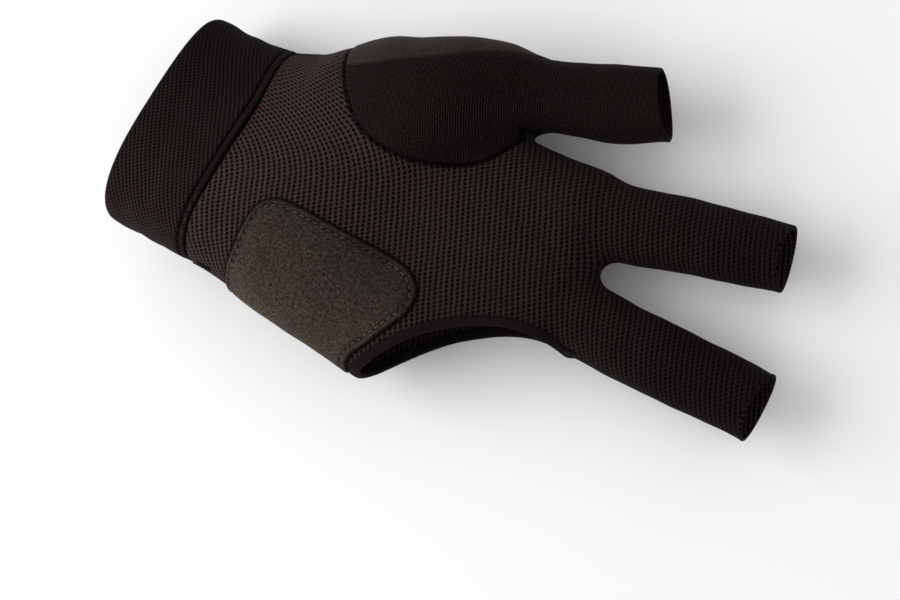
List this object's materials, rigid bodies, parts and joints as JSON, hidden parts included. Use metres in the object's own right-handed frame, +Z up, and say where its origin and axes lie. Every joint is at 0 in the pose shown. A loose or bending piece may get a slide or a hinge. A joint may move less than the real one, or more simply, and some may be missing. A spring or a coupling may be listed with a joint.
{
  "type": "billiard cue glove",
  "caption": "Slip-on cue glove for the left hand: a mesh and suede shell over the wrist, palm, thumb, index and middle finger with open tips, leaving the ring and little fingers bare.",
  "frame": {"origin": "the flat spot on the back panel that the glove rests on when it lies palm up", "axes": "+X from the wrist to the middle fingertip, +Y towards the thumb, +Z up out of the palm"},
  "size_m": [0.1856, 0.1116, 0.0399],
  "materials": {
    "mesh_knit": "black eyelet mesh knit with a dull sheen",
    "fine_mesh_knit": "finer black mesh knit",
    "jersey": "smooth black stretch jersey",
    "suede": "brown-black synthetic suede with a short nap",
    "tape": "narrow black knitted tape",
    "thread": "black polyester sewing thread with a slight gloss",
    "elastic": "covered elastic"
  },
  "bodies": {
    "hand": {"palm_mesh_panel": "mesh_knit", "back_panel": "mesh_knit", "thumb_panel": "jersey", "thumb_suede_strip": "suede", "opening_binding": "tape", "opening_binding_thread": "thread", "cuff_seam_tape": "tape", "cuff_seam_thread_distal": "thread", "cuff_bar_tack": "thread", "heel_pad_suede": "suede", "heel_pad_stitching": "thread", "side_seam_ridge": "tape"},
    "cuff": {"cuff_sleeve": "fine_mesh_knit", "cuff_elastic": "elastic", "cuff_seam_thread_proximal": "thread"},
    "thumb": {"thumb_stall": "jersey", "thumb_end_hem": "jersey"},
    "index_base": {"index_stall_base": "mesh_knit"},
    "index_tip": {"index_stall_tip": "mesh_knit", "index_end_hem": "tape"},
    "middle_base": {"middle_stall_base": "mesh_knit"},
    "middle_tip": {"middle_stall_tip": "mesh_knit", "middle_end_hem": "tape"}
  },
  "joints": [
    {"name": "cuff_bend", "type": "hinge", "parent": "hand", "child": "cuff", "pos_m": [-0.054, -0.0025, 0.0381], "axis": [0, 1, 0], "range_deg": [0, 50]},
    {"name": "thumb_bend", "type": "hinge", "parent": "hand", "child": "thumb", "pos_m": [0.0246, 0.05092, 0.02664], "axis": [0.3584, -0.9336, 0], "range_deg": [0, 45]},
    {"name": "index_knuckle_bend", "type": "hinge", "parent": "hand", "child": "index_base", "pos_m": [0.06285, 0.02925, 0.02254], "axis": [0.225, -0.9744, 0], "range_deg": [0, 80]},
    {"name": "index_middle_bend", "type": "hinge", "parent": "index_base", "child": "index_tip", "pos_m": [0.08204, 0.03368, 0.02187], "axis": [0.225, -0.9744, 0], "range_deg": [0, 90]},
    {"name": "middle_knuckle_bend", "type": "hinge", "parent": "hand", "child": "middle_base", "pos_m": [0.0635, -0.0003, 0.02252], "axis": [0, -1, 0], "range_deg": [0, 80]},
    {"name": "middle_middle_bend", "type": "hinge", "parent": "middle_base", "child": "middle_tip", "pos_m": [0.086, -0.0003, 0.02175], "axis": [0, -1, 0], "range_deg": [0, 90]}
  ]
}
